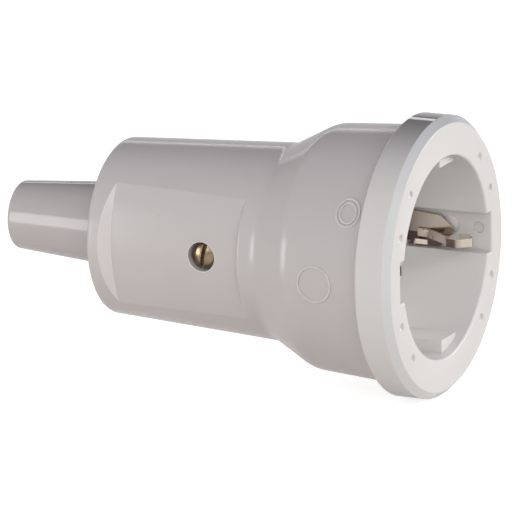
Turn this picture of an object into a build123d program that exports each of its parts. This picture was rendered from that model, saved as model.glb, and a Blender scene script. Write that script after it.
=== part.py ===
from build123d import *
from math import atan2, cos, sin, sqrt
import os

os.makedirs("parts", exist_ok=True)

# Driving dimensions in millimetres. The origin is the centre of the mating face, +X points out of
# the socket, +Z is up and the side screw is on -Y. A depth is measured back from the mating face.

# Mating face and plug cavity
flange_radius = 27.4
flange_depth = 7.0
flange_chamfer = 1.4
cavity_radius = 19.7
cavity_depth = 17.5
floor_thickness = 3.0
insert_radius = 22.0
pin_pitch = 19.0
pin_diameter = 4.8
pin_hole_radius = 2.7
pin_lead_in = 0.8
dimple_radius = 0.95
dimple_depth = 0.45
dimple_circle_radius = 22.7
dimple_angles = (22.5, 45.0)
rim_fillet = 0.4
flange_back_fillet = 0.3

# Recesses for the earth clips and ribs that guide the plug
recess_reach = 21.3
recess_width = 8.0
rib_width = 6.8
rib_offset = 5.0
rib_height = 2.6
rib_setback = 2.0
wall_mark_depth = 0.5
wall_marks = ((2.7, 0.6, 1.15), (8.8, 0.6, 1.9))

# Housing
body_front_radius = 25.1
body_back_radius = 23.9
body_length = 16.6
shoulder_length = 8.5
neck_front_radius = 19.3
neck_back_radius = 17.2
neck_length = 36.7
neck_wall = 3.9
rear_wall = 2.8
body_bore_overrun = 0.7
shoulder_bore_overrun = 1.4
shoulder_outer_fillet = 6.0
shoulder_inner_fillet = 4.5
rear_fillet = 1.2
front_fillet = 0.4
slip_fit = 0.2
ring_marks = ((10.8, 12.9, 2.6), (10.8, 12.9, 1.9), (16.8, -1.0, 3.65))
ring_mark_line = 0.35
ring_mark_height = 0.2
ring_mark_root = 1.0

# Grip panels on the two sides of the neck
panel_front_depth = 35.9
panel_length = 30.3
panel_front_drop = 1.35
panel_rear_drop = 1.95
panel_radius = 27.0
panel_half_height = 13.5
panel_ramp = 2.1
panel_edge_fillet = 0.8
panel_outside = 4.6

# Boot
boot_root_radius = 8.4
boot_tip_radius = 6.65
boot_length = 22.4
boot_bore_radius = 4.25
boot_collar_radius = 10.6
boot_collar_length = 2.2
boot_tip_fillet = 0.8
boot_fit = 0.1

# Earth bracket and its springs
strip_thickness = 0.8
strip_width = 6.0
arm_wall_gap = 0.1
arm_front_depth = 7.8
arm_floor_gap = 0.7
arm_top_fall = 0.5
arm_tip_drop = 1.2
arm_tab_drop = 3.6
arm_corner_length = 2.6
arm_corner_height = 2.9
arm_lower_corner_length = 2.6
spring_thickness = 0.5
spring_height = 1.65
spring_lower = 0.35
spring_foot_depth = 15.1
spring_root_depth = 13.0
spring_bend = 0.8
spring_aim_depth = 5.6
spring_aim_reach = 14.9
nose_outline = ((6.8, 14.4), (4.4, 13.9), (1.8, 16.6), (3.6, 19.1), (6.6, 19.0))
nose_fillet = 0.6
rivet_radius = 0.5
rivet_head_radius = 0.75
rivet_head_height = 0.2
rivet_head_taper = 20

# Contact carrier with its towers and tail
carrier_radius = 18.5
carrier_plate = 4.5
tower_wall = 1.0
tower_length = 11.0
tail_width = 10.8
tail_flat = 12.6
tail_length = 37.0
tail_top = 4.9
platform_length = 12.0
platform_width = 21.0
platform_radius = 12.9
cable_radius = 4.2

# Contacts, terminals and ring springs
sleeve_wall = 0.6
sleeve_clearance = 0.05
slit_width = 0.7
slit_length = 10.0
ring_wall = 0.5
ring_width = 1.4
ring_depth = 27.0
ring_gap = 2.0
ring_room = 0.15
terminal_side = 7.0
terminal_length = 7.0
wire_hole_radius = 1.4
wire_hole_length = 5.5
earth_terminal_length = 9.5
spigot_radius = 1.5

# Screws, bush and clamp
screw_fit = 0.05
terminal_screw_radius = 1.25
terminal_head_radius = 2.1
terminal_head_height = 1.6
terminal_screw_reach = 2.6
carrier_screw_radius = 1.25
carrier_screw_grip = 2.0
carrier_screw_y = 12.0
carrier_screw_z = 8.2
clamp_screw_radius = 1.4
clamp_screw_reach = 6.0
clamp_screw_pitch = 16.0
clamp_width = 6.0
clamp_foot = 2.0
clamp_arch = 1.8
slot_width = 0.8
slot_depth = 0.9
housing_screw_depth = 44.0
housing_screw_radius = 1.75
housing_head_radius = 2.5
housing_head_height = 1.2
housing_head_dome = 0.7
housing_slot_depth = 1.25
housing_recess_room = 0.4
housing_seat = 14.5
housing_boss_radius = 4.6
boss_gap = 0.2
bush_radius = 3.0
bush_length = 6.0
screw_end_room = 0.6
slot_tilt = 10.0

# Values worked out from the dimensions above
insert_back = cavity_depth + floor_thickness
body_back_depth = flange_depth + body_length
neck_front_depth = body_back_depth + shoulder_length
rear_depth = neck_front_depth + neck_length
body_bore_radius = insert_radius + slip_fit
body_bore_depth = insert_back + body_bore_overrun
neck_bore_front_depth = neck_front_depth + shoulder_bore_overrun
neck_slope = (neck_front_radius - neck_back_radius) / neck_length
neck_bore_front_radius = neck_front_radius - neck_slope * shoulder_bore_overrun - neck_wall
neck_bore_back_depth = rear_depth - rear_wall
neck_bore_back_radius = neck_back_radius + neck_slope * rear_wall - neck_wall
boot_hole_radius = boot_root_radius + boot_fit
pin_z = pin_pitch / 2
arm_outer = recess_reach - arm_wall_gap
arm_inner = arm_outer - strip_thickness
base_back = insert_back + strip_thickness
carrier_back = insert_back + carrier_plate
tower_back = carrier_back + tower_length
sleeve_inner = pin_diameter / 2 + sleeve_clearance
sleeve_outer = sleeve_inner + sleeve_wall
ring_outer = sleeve_outer + ring_wall
chamber_radius = ring_outer + ring_room
tower_radius = chamber_radius + tower_wall
tail_back = carrier_back + tail_length
clamp_depth = tail_back - platform_length / 2
terminal_screw_depth = tower_back + terminal_length / 2
earth_screw_depth = carrier_back + terminal_head_radius + slip_fit
spring_height_centre = spring_lower + spring_height / 2
spring_centre_reach = arm_inner - spring_thickness / 2
arm_shoulder_depth = cavity_depth - arm_floor_gap
rivet_depth = (spring_foot_depth + spring_root_depth) / 2
dimple_ball_radius = (dimple_radius**2 + dimple_depth**2) / (2 * dimple_depth)


def cross_section(depth):
    """Plane across the socket axis, local x along Y and local y along Z, facing out of the socket."""
    return Plane.YZ.offset(-depth)


def slotted_screw(seat, head_radius, head_height, shank_radius, reach):
    """Slotted cheese-head screw on its seat plane, head on the side that the plane faces."""
    with BuildPart() as screw:
        with BuildSketch(seat):
            Circle(head_radius)
        extrude(amount=head_height)
        with BuildSketch(seat):
            Circle(shank_radius)
        extrude(amount=-reach)
        with BuildSketch(seat.offset(head_height)):
            Rectangle(2 * head_radius, slot_width)
        extrude(amount=-slot_depth, mode=Mode.SUBTRACT)
    return screw.part


# White insert: flange, plug cavity, earth recesses, guide ribs and pin holes in one moulding
with BuildPart() as socket_insert:
    with BuildSketch(Plane.XY):
        with BuildLine():
            Polyline(
                (0, 0),
                (0, flange_radius - flange_chamfer),
                (-flange_chamfer, flange_radius),
                (flange_back_fillet - flange_depth, flange_radius),
                (-flange_depth, flange_radius - flange_back_fillet),
                (-flange_depth, insert_radius),
                (-insert_back, insert_radius),
                (-insert_back, 0),
                close=True,
            )
        make_face()
    revolve(axis=Axis.X)
    with BuildSketch(cross_section(0)):
        Circle(cavity_radius)
        Rectangle(2 * recess_reach, recess_width)
    extrude(amount=-cavity_depth, mode=Mode.SUBTRACT)
    fillet(socket_insert.faces().sort_by(Axis.X)[-1].inner_wires()[0].edges(), rim_fillet)

    # Shallow round marks in the outer wall of each recess, those of the second recess turned half round
    for side in (1, -1):
        with BuildSketch(Plane.XZ.offset(-side * recess_reach)):
            for depth, height, radius in wall_marks:
                with Locations((-depth, side * height)):
                    Circle(radius)
        extrude(amount=-side * wall_mark_depth, mode=Mode.SUBTRACT)

    # Guide ribs stand back from the face at the top and bottom of the cavity
    rib_middle = cavity_radius - rib_height / 2
    rib_root_radius = (cavity_radius + insert_radius) / 2
    with BuildSketch(cross_section(cavity_depth)):
        with Locations((rib_offset, rib_middle), (rib_offset, -rib_middle)):
            Rectangle(rib_width, rib_height)
        with Locations((rib_offset, cavity_radius), (rib_offset, -cavity_radius)):
            Rectangle(rib_width, rib_height)
        Circle(rib_root_radius, mode=Mode.INTERSECT)
    extrude(amount=cavity_depth - rib_setback)

    # Pin holes with a lead-in, and slots that let the bracket arms through the floor
    with Locations(cross_section(cavity_depth)):
        with Locations((0, pin_z), (0, -pin_z)):
            CounterSinkHole(pin_hole_radius, pin_hole_radius + pin_lead_in, depth=floor_thickness)
    arm_slot = recess_reach - arm_inner + arm_wall_gap
    with BuildSketch(cross_section(cavity_depth)):
        with Locations((recess_reach - arm_slot / 2, 0), (arm_slot / 2 - recess_reach, 0)):
            Rectangle(arm_slot, strip_width + 2 * arm_wall_gap)
    extrude(amount=-floor_thickness, mode=Mode.SUBTRACT)

    # Small round dimples on the face, in two groups of four beside the recesses
    with Locations(cross_section(dimple_depth - dimple_ball_radius)):
        for side in (0, 180):
            for angle in dimple_angles:
                for turn in (side + angle, side - angle):
                    with PolarLocations(dimple_circle_radius, 1, start_angle=turn):
                        Sphere(dimple_ball_radius, mode=Mode.SUBTRACT)

    # Blind holes in the back of the floor for the carrier screws
    with BuildSketch(cross_section(insert_back)):
        with Locations((carrier_screw_y, -carrier_screw_z), (-carrier_screw_y, carrier_screw_z)):
            Circle(carrier_screw_radius + screw_fit)
    extrude(amount=carrier_screw_grip + screw_fit, mode=Mode.SUBTRACT)
socket_insert.part.label = "socket_insert"
export_step(socket_insert.part, "parts/socket_insert.step")


# Cutter for one grip panel: a flatter arc that sinks slowly to the rear and ends in a ramp there
panel_tilt = atan2(neck_slope * panel_length + panel_rear_drop - panel_front_drop, panel_length)
panel_neck_radius = neck_front_radius - neck_slope * (panel_front_depth - neck_front_depth)
panel_plane = Plane(
    origin=(-panel_front_depth, panel_front_drop - panel_neck_radius, 0),
    x_dir=(0, 0, 1),
    z_dir=(-cos(panel_tilt), sin(panel_tilt), 0),
)
panel_sag = panel_radius - sqrt(panel_radius**2 - panel_half_height**2)
with BuildPart() as panel_cutter:
    with BuildSketch(panel_plane):
        with BuildLine():
            ThreePointArc((-panel_half_height, panel_sag), (0, 0), (panel_half_height, panel_sag))
            Polyline(
                (panel_half_height, panel_sag),
                (panel_half_height, -panel_outside),
                (-panel_half_height, -panel_outside),
                (-panel_half_height, panel_sag),
            )
        make_face()
    extrude(amount=panel_length)
    rear_face = panel_cutter.faces().sort_by(Axis.X)[0]
    chamfer(rear_face.edges().filter_by(GeomType.CIRCLE), length=panel_ramp)


# Plain raised rings for the body, cut from a thin shell that follows its taper
with BuildPart() as body_rings:
    with BuildSketch(Plane.XZ):
        for depth, height, radius in ring_marks:
            with Locations((-depth, height)):
                Circle(radius)
                Circle(radius - ring_mark_line, mode=Mode.SUBTRACT)
    extrude(amount=flange_radius)
    with BuildSketch(Plane.XY):
        with BuildLine():
            Polyline(
                (-flange_depth, body_front_radius - ring_mark_root),
                (-flange_depth, body_front_radius + ring_mark_height),
                (-body_back_depth, body_back_radius + ring_mark_height),
                (-body_back_depth, body_back_radius - ring_mark_root),
                close=True,
            )
        make_face()
    revolve(axis=Axis.X, mode=Mode.INTERSECT)


# Grey housing: body, shoulder and tapered neck as one shell, with the boot hole and the screw seat
with BuildPart() as housing:
    with BuildSketch(Plane.XY) as housing_profile:
        with BuildLine():
            Polyline(
                (-flange_depth, body_front_radius),
                (-body_back_depth, body_back_radius),
                (-neck_front_depth, neck_front_radius),
                (-rear_depth, neck_back_radius),
                (-rear_depth, boot_hole_radius),
                (-neck_bore_back_depth, boot_hole_radius),
                (-neck_bore_back_depth, neck_bore_back_radius),
                (-neck_bore_front_depth, neck_bore_front_radius),
                (-body_bore_depth, body_bore_radius),
                (-flange_depth, body_bore_radius),
                close=True,
            )
        make_face()
        for corner, radius in (
            ((-flange_depth, body_front_radius), front_fillet),
            ((-body_back_depth, body_back_radius), shoulder_outer_fillet),
            ((-neck_front_depth, neck_front_radius), shoulder_inner_fillet),
            ((-rear_depth, neck_back_radius), rear_fillet),
        ):
            fillet(housing_profile.vertices().sort_by_distance(corner)[0], radius)
    revolve(axis=Axis.X)
    add(panel_cutter.part, mode=Mode.SUBTRACT)
    add(panel_cutter.part.mirror(Plane.XZ), mode=Mode.SUBTRACT)
    front_edges = housing.edges().filter_by(
        lambda edge: abs(edge.center().X + panel_front_depth) < panel_edge_fillet
        and abs(edge.center().Y) > panel_half_height
    )
    fillet(front_edges.group_by(Axis.X)[0], panel_edge_fillet)
    add(body_rings.part)

    # Inner boss, then the recess for the screw head and the hole for its shank
    with BuildSketch(Plane.XZ.offset(tail_flat + boss_gap)):
        with Locations((-housing_screw_depth, 0)):
            Circle(housing_boss_radius)
    extrude(amount=housing_seat - tail_flat - boss_gap)
    with BuildSketch(Plane.XZ.offset(housing_seat)):
        with Locations((-housing_screw_depth, 0)):
            Circle(housing_head_radius + housing_recess_room)
    extrude(amount=neck_front_radius - housing_seat, mode=Mode.SUBTRACT)
    with BuildSketch(Plane.XZ.offset(tail_flat)):
        with Locations((-housing_screw_depth, 0)):
            Circle(housing_screw_radius + slip_fit)
    extrude(amount=neck_front_radius - tail_flat, mode=Mode.SUBTRACT)
housing.part.label = "housing"
export_step(housing.part, "parts/housing.step")


# Soft boot: tapered sleeve outside the rear wall, with a collar inside it
with BuildPart() as cable_boot:
    with BuildSketch(Plane.XY) as boot_profile:
        with BuildLine():
            Polyline(
                (-neck_bore_back_depth + boot_collar_length, boot_bore_radius),
                (-neck_bore_back_depth + boot_collar_length, boot_collar_radius),
                (-neck_bore_back_depth, boot_collar_radius),
                (-neck_bore_back_depth, boot_root_radius),
                (-rear_depth, boot_root_radius),
                (-rear_depth - boot_length, boot_tip_radius),
                (-rear_depth - boot_length, boot_bore_radius),
                close=True,
            )
        make_face()
        tip = boot_profile.vertices().sort_by_distance((-rear_depth - boot_length, boot_tip_radius))[0]
        fillet(tip, boot_tip_fillet)
    revolve(axis=Axis.X)
cable_boot.part.label = "cable_boot"
export_step(cable_boot.part, "parts/cable_boot.step")


# Earth bracket: one strip bent to a U, its base behind the cavity floor and an arm in each recess
with BuildPart() as earth_bracket:
    with BuildSketch(cross_section(base_back)):
        Rectangle(2 * arm_outer, strip_width)
        Circle(spigot_radius + screw_fit, mode=Mode.SUBTRACT)
    extrude(amount=strip_thickness)
    for side in (1, -1):
        arm_plane = Plane.XZ.offset(-arm_outer if side > 0 else arm_inner)
        with BuildSketch(arm_plane):
            with BuildLine():
                Polyline(
                    (-base_back, -side * strip_width / 2),
                    (-base_back, side * strip_width / 2),
                    (-arm_shoulder_depth, side * strip_width / 2),
                    (-arm_front_depth - arm_corner_length, side * (strip_width / 2 - arm_top_fall)),
                    (-arm_front_depth, side * (strip_width / 2 - arm_corner_height)),
                    (-arm_front_depth, -side * arm_tip_drop),
                    (-arm_front_depth - arm_lower_corner_length, -side * arm_tab_drop),
                    (-arm_shoulder_depth, -side * arm_tab_drop),
                    (-arm_shoulder_depth, -side * strip_width / 2),
                    close=True,
                )
            make_face()
            with Locations((-rivet_depth, -side * spring_height_centre)):
                Circle(rivet_radius + screw_fit, mode=Mode.SUBTRACT)
        extrude(amount=strip_thickness)
    bend_edges = earth_bracket.edges().filter_by(Axis.Z).group_by(Axis.X)[0]
    fillet(bend_edges, strip_thickness)
earth_bracket.part.label = "earth_bracket"
export_step(earth_bracket.part, "parts/earth_bracket.step")


# Earth springs: strips riveted to the arms, each with a pressed nose, the second one turned half round
for name, side in (("earth_spring_right", 1), ("earth_spring_left", -1)):
    spring_plane = Plane.XY.offset(-side * spring_lower - (spring_height if side > 0 else 0))
    with BuildPart() as earth_spring:
        with BuildSketch(spring_plane):
            with BuildLine():
                FilletPolyline(
                    (-spring_foot_depth, side * spring_centre_reach),
                    (-spring_root_depth, side * spring_centre_reach),
                    (-spring_aim_depth, side * spring_aim_reach),
                    radius=spring_bend,
                )
            trace(line_width=spring_thickness)
            with BuildSketch(mode=Mode.PRIVATE) as nose:
                with BuildLine():
                    Polyline(*[(-depth, side * reach) for depth, reach in nose_outline], close=True)
                make_face()
                fillet(nose.vertices(), nose_fillet)
            add(nose.sketch)
        extrude(amount=spring_height)
        with BuildSketch(Plane.XZ.offset(-side * recess_reach)):
            with Locations((-rivet_depth, -side * spring_height_centre)):
                Circle(rivet_radius + screw_fit)
        extrude(amount=side * recess_reach, mode=Mode.SUBTRACT)
    earth_spring.part.label = name
    export_step(earth_spring.part, f"parts/{name}.step")


# Rivets through the arm and the foot of each earth spring, head on the inner side
with BuildPart() as earth_rivets:
    for side in (1, -1):
        head_plane = Plane(
            origin=(-rivet_depth, side * (arm_inner - spring_thickness), -side * spring_height_centre),
            x_dir=(1, 0, 0),
            z_dir=(0, -side, 0),
        )
        with BuildSketch(head_plane):
            Circle(rivet_head_radius)
        extrude(amount=rivet_head_height, taper=rivet_head_taper)
        with BuildSketch(head_plane):
            Circle(rivet_radius)
        extrude(amount=-(spring_thickness + strip_thickness))
earth_rivets.part.label = "earth_rivets"
export_step(earth_rivets.part, "parts/earth_rivets.step")


# Contact carrier: plate behind the cavity floor, two towers round the contacts and the cable tail
window = terminal_side + 2 * slip_fit
with BuildPart() as contact_carrier:
    with BuildSketch(cross_section(carrier_back)):
        Circle(carrier_radius)
    extrude(amount=carrier_plate)
    with BuildSketch(cross_section(tower_back)):
        with Locations((0, pin_z), (0, -pin_z)):
            Circle(tower_radius)
    extrude(amount=tower_length)
    with BuildSketch(cross_section(tail_back)):
        with Locations((-(tail_flat + tail_top) / 2, 0)):
            Rectangle(tail_flat - tail_top, tail_width)
    extrude(amount=tail_length)
    with BuildSketch(cross_section(tail_back)):
        Circle(platform_radius)
        with Locations((-tail_flat / 2, 0)):
            Rectangle(tail_flat, platform_width, mode=Mode.INTERSECT)
    extrude(amount=platform_length)

    # Contact chambers, groove for the bracket base and window for the earth terminal
    with BuildSketch(cross_section(insert_back)):
        with Locations((0, pin_z), (0, -pin_z)):
            Circle(chamber_radius)
    extrude(amount=-(carrier_plate + tower_length), mode=Mode.SUBTRACT)
    with BuildSketch(cross_section(insert_back)):
        Rectangle(2 * arm_outer, strip_width + 2 * arm_wall_gap)
    extrude(amount=-strip_thickness, mode=Mode.SUBTRACT)
    with BuildSketch(cross_section(insert_back)):
        Rectangle(window, window)
    extrude(amount=-carrier_plate, mode=Mode.SUBTRACT)

    # Cable channel, clamp screw holes, carrier screw holes and the hole for the threaded bush
    with BuildSketch(cross_section(tail_back)):
        Circle(cable_radius)
    extrude(amount=platform_length, mode=Mode.SUBTRACT)
    with BuildSketch(Plane.XZ):
        with Locations((-clamp_depth, clamp_screw_pitch / 2), (-clamp_depth, -clamp_screw_pitch / 2)):
            Circle(clamp_screw_radius + screw_fit)
    extrude(amount=clamp_screw_reach + screw_fit, mode=Mode.SUBTRACT)
    with BuildSketch(cross_section(carrier_back)):
        with Locations((carrier_screw_y, -carrier_screw_z), (-carrier_screw_y, carrier_screw_z)):
            Circle(carrier_screw_radius + screw_fit)
    extrude(amount=carrier_plate, mode=Mode.SUBTRACT)
    with BuildSketch(Plane.XZ.offset(tail_flat)):
        with Locations((-housing_screw_depth, 0)):
            Circle(bush_radius)
    extrude(amount=-bush_length, mode=Mode.SUBTRACT)
contact_carrier.part.label = "contact_carrier"
export_step(contact_carrier.part, "parts/contact_carrier.step")


# Line contacts: slit sleeves for the plug pins, each with a wire terminal behind its tower
for name, side in (("live_contact", 1), ("neutral_contact", -1)):
    with BuildPart() as line_contact:
        with BuildSketch(cross_section(tower_back)):
            with Locations((0, side * pin_z)):
                Circle(sleeve_outer)
        extrude(amount=tower_back - insert_back)
        with BuildSketch(cross_section(tower_back + terminal_length)):
            with Locations((0, side * pin_z)):
                RectangleRounded(terminal_side, terminal_side, sleeve_wall)
        extrude(amount=terminal_length)
        with BuildSketch(cross_section(insert_back)):
            with Locations((0, side * pin_z)):
                Circle(sleeve_inner)
        extrude(amount=-(tower_back - insert_back), mode=Mode.SUBTRACT)
        with BuildSketch(cross_section(insert_back)):
            with Locations((0, side * pin_z)):
                Rectangle(slit_width, 2 * chamber_radius)
        extrude(amount=-slit_length, mode=Mode.SUBTRACT)
        with BuildSketch(cross_section(tower_back + terminal_length)):
            with Locations((0, side * pin_z)):
                Circle(wire_hole_radius)
        extrude(amount=wire_hole_length, mode=Mode.SUBTRACT)
        with BuildSketch(Plane.XZ.offset(-terminal_side / 2)):
            with Locations((-terminal_screw_depth, side * pin_z)):
                Circle(terminal_screw_radius + screw_fit)
        extrude(amount=terminal_side / 2, mode=Mode.SUBTRACT)
    line_contact.part.label = name
    export_step(line_contact.part, f"parts/{name}.step")


# Ring springs: open rings round the slit sleeves
for name, side in (("live_ring_spring", 1), ("neutral_ring_spring", -1)):
    with BuildPart() as ring_spring:
        with BuildSketch(cross_section(ring_depth)):
            with Locations((0, side * pin_z)):
                Circle(ring_outer)
                Circle(sleeve_outer, mode=Mode.SUBTRACT)
            with Locations((0, side * (pin_z - sleeve_outer))):
                Rectangle(ring_gap, 2 * ring_wall + ring_gap, mode=Mode.SUBTRACT)
        extrude(amount=ring_width)
    ring_spring.part.label = name
    export_step(ring_spring.part, f"parts/{name}.step")


# Screws of the line terminals, driven from the side that faces away from the tail
def terminal_screw(depth, z):
    """Screw of a wire terminal, seated on the terminal's +Y face."""
    seat = Plane(origin=(-depth, terminal_side / 2, z), x_dir=(1, 0, 0), z_dir=(0, 1, 0))
    return slotted_screw(
        seat, terminal_head_radius, terminal_head_height, terminal_screw_radius, terminal_screw_reach
    )


line_screw_pair = [terminal_screw(terminal_screw_depth, side * pin_z) for side in (1, -1)]
with BuildPart() as line_terminal_screws:
    add(line_screw_pair)
line_terminal_screws.part.label = "line_terminal_screws"
export_step(line_terminal_screws.part, "parts/line_terminal_screws.step")


# Earth terminal: brass block on the bracket base, its spigot set in the base
with BuildPart() as earth_terminal:
    with BuildSketch(cross_section(base_back + earth_terminal_length)):
        RectangleRounded(terminal_side, terminal_side, sleeve_wall)
    extrude(amount=earth_terminal_length)
    with BuildSketch(cross_section(base_back)):
        Circle(spigot_radius)
    extrude(amount=strip_thickness)
    with BuildSketch(cross_section(base_back + earth_terminal_length)):
        Circle(wire_hole_radius)
    extrude(amount=wire_hole_length, mode=Mode.SUBTRACT)
    with BuildSketch(Plane.XZ.offset(-terminal_side / 2)):
        with Locations((-earth_screw_depth, 0)):
            Circle(terminal_screw_radius + screw_fit)
    extrude(amount=terminal_side / 2, mode=Mode.SUBTRACT)
earth_terminal.part.label = "earth_terminal"
export_step(earth_terminal.part, "parts/earth_terminal.step")

earth_screw = terminal_screw(earth_screw_depth, 0)
with BuildPart() as earth_terminal_screw:
    add(earth_screw)
earth_terminal_screw.part.label = "earth_terminal_screw"
export_step(earth_terminal_screw.part, "parts/earth_terminal_screw.step")


# Screws that hold the carrier on the back of the insert
def carrier_screw(side):
    """Screw through the carrier plate, its head on the back of the plate."""
    seat = Plane(
        origin=(-carrier_back, side * carrier_screw_y, -side * carrier_screw_z),
        x_dir=(0, 1, 0),
        z_dir=(-1, 0, 0),
    )
    reach = carrier_plate + carrier_screw_grip
    return slotted_screw(seat, terminal_head_radius, terminal_head_height, carrier_screw_radius, reach)


carrier_screw_pair = [carrier_screw(side) for side in (1, -1)]
with BuildPart() as carrier_screws:
    add(carrier_screw_pair)
carrier_screws.part.label = "carrier_screws"
export_step(carrier_screws.part, "parts/carrier_screws.step")


# Cable clamp: saddle with two feet on the tail's platform, and its two screws
with BuildPart() as cable_clamp:
    with BuildSketch(cross_section(clamp_depth + clamp_width / 2)):
        Circle(cable_radius + clamp_arch)
        with Locations((clamp_foot / 2, 0)):
            Rectangle(clamp_foot, platform_width)
        with Locations((-platform_radius / 2, 0)):
            Rectangle(platform_radius, platform_width, mode=Mode.SUBTRACT)
        Circle(cable_radius, mode=Mode.SUBTRACT)
    extrude(amount=clamp_width)
    with BuildSketch(Plane.XZ):
        with Locations((-clamp_depth, clamp_screw_pitch / 2), (-clamp_depth, -clamp_screw_pitch / 2)):
            Circle(clamp_screw_radius + screw_fit)
    extrude(amount=-clamp_foot, mode=Mode.SUBTRACT)
cable_clamp.part.label = "cable_clamp"
export_step(cable_clamp.part, "parts/cable_clamp.step")


def clamp_screw(side):
    """Screw through a foot of the clamp into the platform."""
    seat = Plane(
        origin=(-clamp_depth, clamp_foot, side * clamp_screw_pitch / 2),
        x_dir=(1, 0, 0),
        z_dir=(0, 1, 0),
    )
    reach = clamp_foot + clamp_screw_reach
    return slotted_screw(seat, terminal_head_radius, terminal_head_height, clamp_screw_radius, reach)


clamp_screw_pair = [clamp_screw(side) for side in (1, -1)]
with BuildPart() as clamp_screws:
    add(clamp_screw_pair)
clamp_screws.part.label = "clamp_screws"
export_step(clamp_screws.part, "parts/clamp_screws.step")


# Brass bush in the tail and the domed brass screw that holds the housing on it
with BuildPart() as threaded_bush:
    with BuildSketch(Plane.XZ.offset(tail_flat)):
        with Locations((-housing_screw_depth, 0)):
            Circle(bush_radius)
            Circle(housing_screw_radius + screw_fit, mode=Mode.SUBTRACT)
    extrude(amount=-bush_length)
threaded_bush.part.label = "threaded_bush"
export_step(threaded_bush.part, "parts/threaded_bush.step")

head_top = housing_head_height + housing_head_dome
head_side = housing_head_height
screw_reach = housing_seat - tail_flat + bush_length - screw_end_room
screw_axis = Axis((-housing_screw_depth, -housing_seat, 0), (0, -1, 0))
with BuildPart() as housing_screw:
    with BuildSketch(Plane.XY):
        with BuildLine():
            Polyline(
                (-housing_screw_depth, -housing_seat - head_top),
                (-housing_screw_depth, -housing_seat + screw_reach),
                (-housing_screw_depth + housing_screw_radius, -housing_seat + screw_reach),
                (-housing_screw_depth + housing_screw_radius, -housing_seat),
                (-housing_screw_depth + housing_head_radius, -housing_seat),
                (-housing_screw_depth + housing_head_radius, -housing_seat - head_side),
            )
            RadiusArc(
                (-housing_screw_depth + housing_head_radius, -housing_seat - head_side),
                (-housing_screw_depth, -housing_seat - head_top),
                (housing_head_radius**2 + housing_head_dome**2) / (2 * housing_head_dome),
            )
        make_face()
    revolve(axis=screw_axis)
    with BuildSketch(Plane.XZ.offset(housing_seat + head_top)):
        with Locations((-housing_screw_depth, 0)):
            Rectangle(2 * housing_head_radius, slot_width, rotation=90 - slot_tilt)
    extrude(amount=-housing_slot_depth, mode=Mode.SUBTRACT)
housing_screw.part.label = "housing_screw"
export_step(housing_screw.part, "parts/housing_screw.step")
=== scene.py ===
from math import pi, radians

import bpy
from mathutils import Matrix, Vector


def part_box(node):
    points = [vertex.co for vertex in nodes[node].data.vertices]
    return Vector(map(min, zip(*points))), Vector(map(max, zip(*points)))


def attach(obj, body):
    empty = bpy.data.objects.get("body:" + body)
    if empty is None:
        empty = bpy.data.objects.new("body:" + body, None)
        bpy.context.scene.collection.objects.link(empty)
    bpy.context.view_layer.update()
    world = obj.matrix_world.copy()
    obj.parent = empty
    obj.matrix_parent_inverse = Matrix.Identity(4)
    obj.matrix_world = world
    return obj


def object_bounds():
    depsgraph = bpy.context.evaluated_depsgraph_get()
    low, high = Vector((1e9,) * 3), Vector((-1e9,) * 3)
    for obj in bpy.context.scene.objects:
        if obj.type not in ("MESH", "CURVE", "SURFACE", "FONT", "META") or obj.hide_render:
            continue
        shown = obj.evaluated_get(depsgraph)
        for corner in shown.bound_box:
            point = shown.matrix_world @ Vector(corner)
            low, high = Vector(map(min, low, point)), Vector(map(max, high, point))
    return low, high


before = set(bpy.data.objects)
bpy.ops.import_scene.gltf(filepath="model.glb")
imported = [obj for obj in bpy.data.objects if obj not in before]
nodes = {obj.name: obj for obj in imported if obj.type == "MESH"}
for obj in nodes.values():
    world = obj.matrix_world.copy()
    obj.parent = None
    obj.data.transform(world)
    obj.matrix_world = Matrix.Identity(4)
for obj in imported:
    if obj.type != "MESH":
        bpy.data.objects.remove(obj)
cad_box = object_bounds()
bpy.ops.object.select_all(action="DESELECT")


# Housing: the hollow grip, injection moulded in one piece from grey polypropylene.
# It slides over the insert from behind and is held by one screw in its side.
# The polished mould leaves it glossy and slowly rippled. Painted highlights pale its ridges and its
# rear panel ramps, and painted shade darkens its inner corners.


def linear(hex_colour):
    """Linear RGBA of an sRGB hex colour."""
    channels = [int(hex_colour[i:i + 2], 16) / 255 for i in (1, 3, 5)]
    return [c / 12.92 if c <= 0.04045 else ((c + 0.055) / 1.055) ** 2.4 for c in channels] + [1.0]


def add_node(tree, kind, values={}, links={}, **settings):
    """Adds a node with its properties, its socket values and its input links."""
    node = tree.nodes.new(kind)
    for name, value in settings.items():
        setattr(node, name, value)
    for socket, value in values.items():
        node.inputs[socket].default_value = value
    for socket, source in links.items():
        tree.links.new(source, node.inputs[socket])
    return node


def start_material(name):
    """New material with an empty node tree, returned with its Object coordinates."""
    material = bpy.data.materials.new(name)
    material.use_nodes = True
    material.node_tree.nodes.clear()
    place = add_node(material.node_tree, "ShaderNodeTexCoord").outputs["Object"]
    return material, material.node_tree, place


shell_colour = linear("#c5c1c0")
shell_cloud_colour = linear("#bfbbba")
shell_cloud_size = 0.014
shell_cloud_octaves = 4.0
shell_speck_colour = linear("#8d8681")
shell_speck_spacing = 0.0055
shell_speck_share = 0.022
# Painted light: the forward-facing rear panel ramps are painted paler.
shell_ramp_light_colour = linear("#dfdbda")
shell_ramp_front = -0.06
shell_ramp_facing = 0.2
# Painted shade: the shell's concave corners are darkened through an occlusion mask.
shell_corner_shade_colour = linear("#7d7672")
shell_corner_shade_reach = 0.0005
shell_corner_shade_openness = (0.35, 0.85)
shell_corner_shade_share = 0.05
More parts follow.
